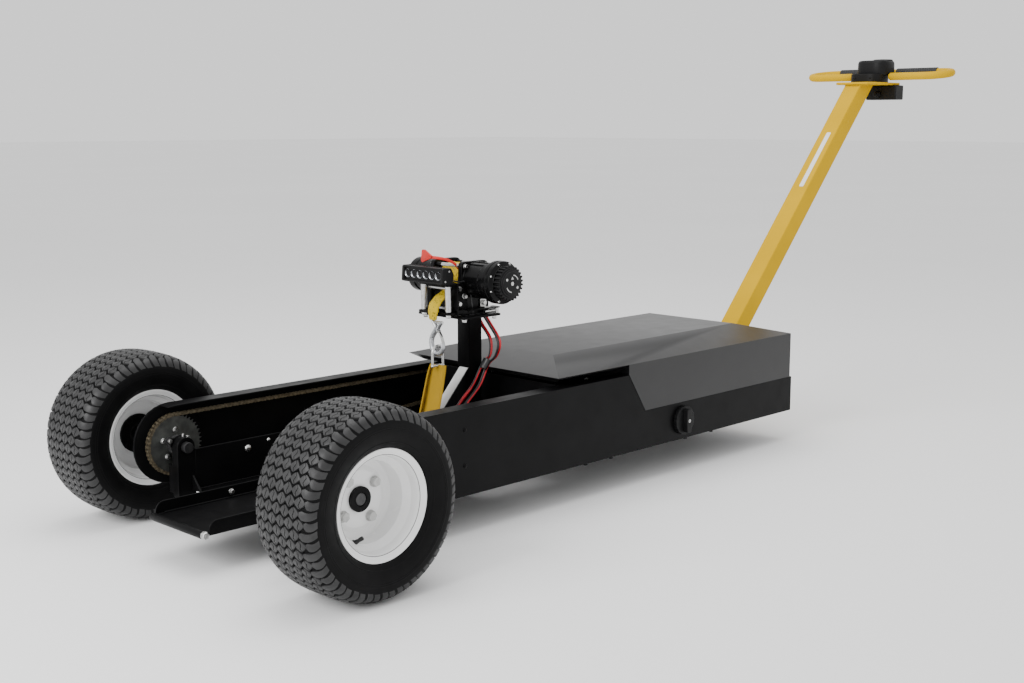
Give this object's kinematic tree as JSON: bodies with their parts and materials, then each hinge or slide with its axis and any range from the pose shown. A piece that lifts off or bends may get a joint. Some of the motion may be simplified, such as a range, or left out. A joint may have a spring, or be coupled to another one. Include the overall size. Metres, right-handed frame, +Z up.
{
  "type": "walk-behind aircraft pushback tractor",
  "caption": "Battery walk-behind aircraft tug with turf drive wheels, an open nose-wheel tray, a winch on a post, a flat hipped hood and a yellow tiller.",
  "frame": {"origin": "on the floor below the centre of the bounding box", "axes": "+X points from the nose-wheel tray to the tiller, +Y to the vehicle's right side, +Z up"},
  "size_m": [3.0197, 1.0408, 1.17],
  "materials": {
    "black_steel": "satin black powder coat",
    "hood_black": "satin black paint on sheet",
    "tyre_rubber": "dark grey turf tyre",
    "caster_rubber": "grey black rubber tread",
    "white_rim": "glossy white paint",
    "yellow_paint": "glossy yellow powder coat",
    "bright_steel": "zinc plated steel",
    "chain_steel": "dull oiled brassy roller chain",
    "black_plastic": "moulded black plastic",
    "winch_black": "semi-gloss black casting",
    "rope_yellow": "braided yellow rope with dark flecks",
    "webbing_yellow": "yellow woven webbing",
    "white_plastic": "white flat plastic cover",
    "red_cable": "red cable sheath",
    "battery_case": "dark grey battery case"
  },
  "bodies": {
    "chassis": {"bulkhead": "black_steel", "caster_plate": "bright_steel", "control_head": "black_plastic", "drive_unit": "winch_black", "fairlead": "black_steel", "floor_pan": "black_steel", "front_tie_bar": "bright_steel", "gauge_box": "black_plastic", "handle_loop": "yellow_paint", "lead_cover": "white_plastic", "left_battery": "battery_case", "left_bearing_block": "black_steel", "left_chain": "chain_steel", "left_floor_strip": "black_steel", "left_grip": "black_plastic", "left_inner_plate": "black_steel", "left_side_wall": "black_steel", "light_bar": "black_plastic", "nose_wheel_tray": "black_steel", "rear_panel": "black_steel", "rear_tie_bar": "bright_steel", "right_battery": "battery_case", "right_bearing_block": "black_steel", "right_chain": "chain_steel", "right_floor_strip": "black_steel", "right_grip": "black_plastic", "right_inner_plate": "black_steel", "right_side_wall": "black_steel", "side_knob": "black_plastic", "sling_shackle": "bright_steel", "sling_webbing": "webbing_yellow", "tiller": "yellow_paint", "tiller_mount": "black_steel", "tray_lip_roller": "black_steel", "winch_gearbox": "winch_black", "winch_hook": "bright_steel", "winch_lead_black": "black_plastic", "winch_lead_red": "red_cable", "winch_motor": "winch_black", "winch_post": "black_steel", "winch_rope": "rope_yellow"},
    "left_wheel": {"left_tyre": "tyre_rubber", "left_rim": "white_rim", "left_axle": "black_steel"},
    "right_wheel": {"right_tyre": "tyre_rubber", "right_rim": "white_rim", "right_axle": "black_steel"},
    "caster_swivel": {"caster_fork": "bright_steel"},
    "caster_roller": {"caster_wheel": "caster_rubber"},
    "lid": {"hood": "hood_black"},
    "drum": {"winch_drum": "rope_yellow"}
  },
  "joints": [
    {"name": "left_wheel_spin", "type": "hinge", "parent": "chassis", "child": "left_wheel", "pos_m": [-1.30665, -0.4272, 0.2032], "axis": [0, 1, 0], "continuous": true},
    {"name": "right_wheel_spin", "type": "hinge", "parent": "chassis", "child": "right_wheel", "pos_m": [-1.30665, 0.4272, 0.2032], "axis": [0, 1, 0], "continuous": true},
    {"name": "caster_turn", "type": "hinge", "parent": "chassis", "child": "caster_swivel", "pos_m": [0.29335, 0, 0.15], "axis": [0, 0, 1], "continuous": true},
    {"name": "caster_roll", "type": "hinge", "parent": "caster_swivel", "child": "caster_roller", "pos_m": [0.32935, 0, 0.0625], "axis": [0, 1, 0], "continuous": true},
    {"name": "hood_lift", "type": "hinge", "parent": "chassis", "child": "lid", "pos_m": [0.48135, 0, 0.324], "axis": [0, 1, 0], "range_deg": [0, 70]},
    {"name": "winch_drum_turn", "type": "hinge", "parent": "chassis", "child": "drum", "pos_m": [-0.61865, 0, 0.5625], "axis": [0, 1, 0], "continuous": true}
  ]
}
